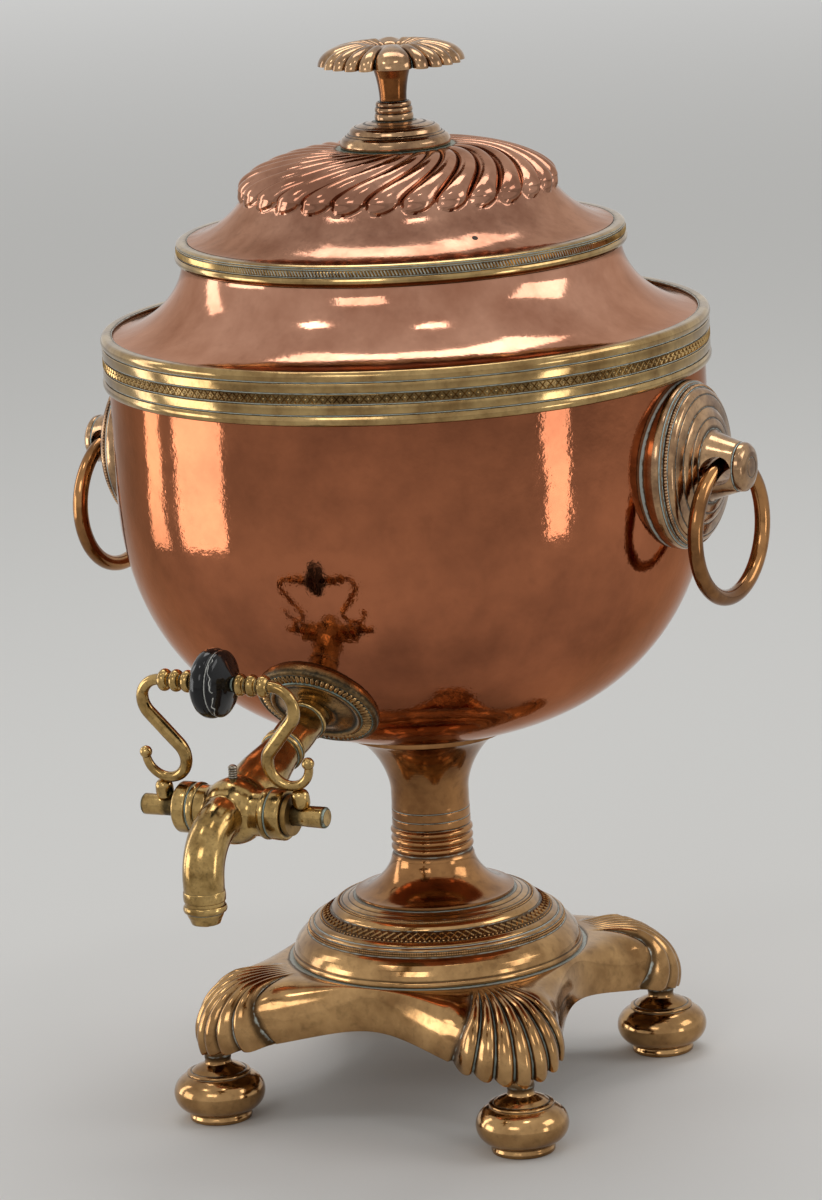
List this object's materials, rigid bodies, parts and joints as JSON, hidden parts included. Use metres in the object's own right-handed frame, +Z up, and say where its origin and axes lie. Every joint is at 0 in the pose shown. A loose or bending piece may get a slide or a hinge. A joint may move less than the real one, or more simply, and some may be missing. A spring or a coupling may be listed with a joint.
{
  "type": "tea urn",
  "caption": "Round copper tea urn with a lift-off domed lid, hanging ring handles and a forked tap key, on a turned pedestal with a fluted plinth and bun feet.",
  "frame": {"origin": "on the urn's vertical axis at floor level, in the plane of the feet's undersides", "axes": "+Z up; the tap points to -Y; the ring handles are at -X and +X"},
  "size_m": [0.287, 0.3101, 0.4175],
  "materials": {
    "copper": "polished copper, softly worn",
    "brass": "polished cast brass with dark recesses",
    "bronze": "browned brass",
    "iron": "dark oxidised iron",
    "ebony": "black polished hardwood"
  },
  "bodies": {
    "urn": {"bowl": "copper", "shoulder_neck": "copper", "shoulder_band": "brass", "handle_boss_left": "bronze", "handle_boss_right": "bronze", "boss_studs": "brass", "boss_nuts": "brass", "tap_plate": "brass", "tap_body": "brass", "tap_screw": "iron", "tap_saddle": "brass", "tap_nut": "brass", "column": "brass", "foot": "brass", "plinth": "brass", "bun_foot_front_left": "brass", "bun_foot_front_right": "brass", "bun_foot_back_left": "brass", "bun_foot_back_right": "brass", "tie_rod": "iron", "tie_nuts": "iron", "tie_washers": "iron", "heater_tube": "copper"},
    "lid": {"lid_dome": "copper", "lid_ring": "brass", "lid_collar": "brass", "finial_base": "brass", "finial_stem": "bronze", "finial_flower": "bronze", "finial_rod": "brass", "finial_nut": "brass"},
    "heater_cover": {"heater_cover": "brass", "cover_knob": "brass"},
    "heater_slug": {"heater_slug": "iron", "slug_eye": "iron"},
    "ring_left": {"handle_ring_left": "bronze"},
    "ring_right": {"handle_ring_right": "bronze"},
    "tap_key": {"tap_plug": "brass", "plug_washer": "brass", "key_scroll_left": "brass", "key_scroll_right": "brass", "key_grip": "brass", "key_knob": "ebony", "key_pins": "brass"}
  },
  "joints": [
    {"name": "lid_lift", "type": "slide", "parent": "urn", "child": "lid", "axis": [0, 0, 1], "range_m": [0, 0.2]},
    {"name": "heater_cover_lift", "type": "slide", "parent": "urn", "child": "heater_cover", "axis": [0, 0, 1], "range_m": [0, 0.17]},
    {"name": "heater_slug_lift", "type": "slide", "parent": "urn", "child": "heater_slug", "axis": [0, 0, 1], "range_m": [0, 0.15]},
    {"name": "ring_swing_left", "type": "hinge", "parent": "urn", "child": "ring_left", "pos_m": [-0.1331, 0, 0.257], "axis": [0, 1, 0], "range_deg": [-5, 170]},
    {"name": "ring_swing_right", "type": "hinge", "parent": "urn", "child": "ring_right", "pos_m": [0.1331, 0, 0.257], "axis": [0, -1, 0], "range_deg": [-5, 170]},
    {"name": "tap_key_turn", "type": "hinge", "parent": "urn", "child": "tap_key", "pos_m": [0, -0.1575, 0.154], "axis": [1, 0, 0], "range_deg": [0, 90]}
  ],
  "couplings": [
    {"joint": "heater_cover_lift", "follows": "lid_lift", "ratio": 0.85},
    {"joint": "heater_slug_lift", "follows": "lid_lift", "ratio": 0.75}
  ]
}
